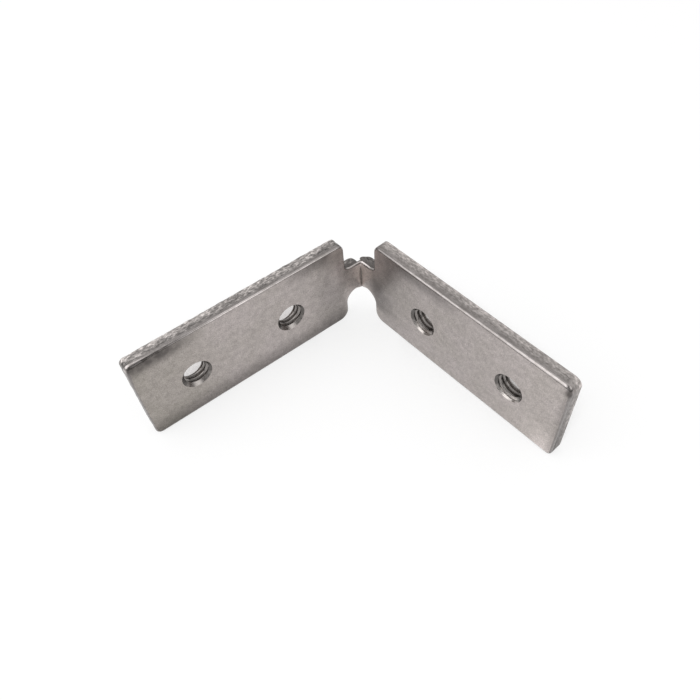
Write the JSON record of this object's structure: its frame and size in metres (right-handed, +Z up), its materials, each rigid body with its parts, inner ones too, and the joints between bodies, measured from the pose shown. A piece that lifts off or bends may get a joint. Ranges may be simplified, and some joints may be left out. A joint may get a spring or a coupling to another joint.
{
  "type": "corner connector",
  "caption": "Punched steel corner connector for handle profiles: flat tapped legs joined by a narrow scored neck that folds to the angle of the corner.",
  "frame": {"origin": "under the middle of the part's box, on the surface that the lower edges of the legs stand on", "axes": "+X from the left leg to the right leg, +Y towards the fold, +Z up along the fold line"},
  "size_m": [0.067, 0.0306, 0.018],
  "materials": {
    "plated_steel": "satin zinc-plated steel with sheared edges"
  },
  "bodies": {
    "left": {"left_leg": "plated_steel", "fold_web": "plated_steel"},
    "right": {"right_leg": "plated_steel"}
  },
  "joints": [
    {"name": "fold", "type": "hinge", "parent": "left", "child": "right", "pos_m": [0, 0.01456, 0.009], "axis": [0, 0, 1], "range_deg": [-4, 86]}
  ]
}
